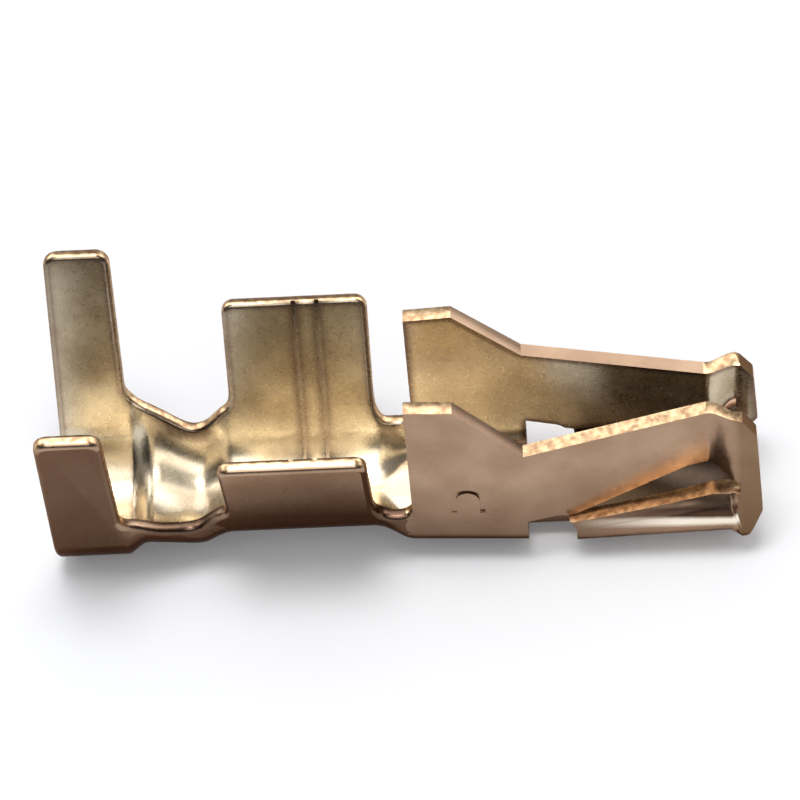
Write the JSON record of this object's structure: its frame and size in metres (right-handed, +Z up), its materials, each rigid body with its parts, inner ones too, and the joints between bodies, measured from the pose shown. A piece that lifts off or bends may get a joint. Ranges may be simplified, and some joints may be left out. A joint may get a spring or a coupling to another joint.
{
  "type": "crimp socket contact",
  "caption": "Stamped and formed brass socket contact with open wire and insulation crimp barrels, a square channel and two pinched arms that grip a square post.",
  "frame": {"origin": "middle of the footprint, on the plane through the lowest point, the underside of the insulation barrel", "axes": "+X towards the mating end, +Z up out of the open barrels, Y across"},
  "size_m": [0.015, 0.0054, 0.0059],
  "materials": {
    "plated_brass": "thin bright plating over brass, lightly tarnished and mottled, with bare sheared edges"
  },
  "bodies": {
    "root": {"socket_contact": "plated_brass"}
  },
  "joints": []
}
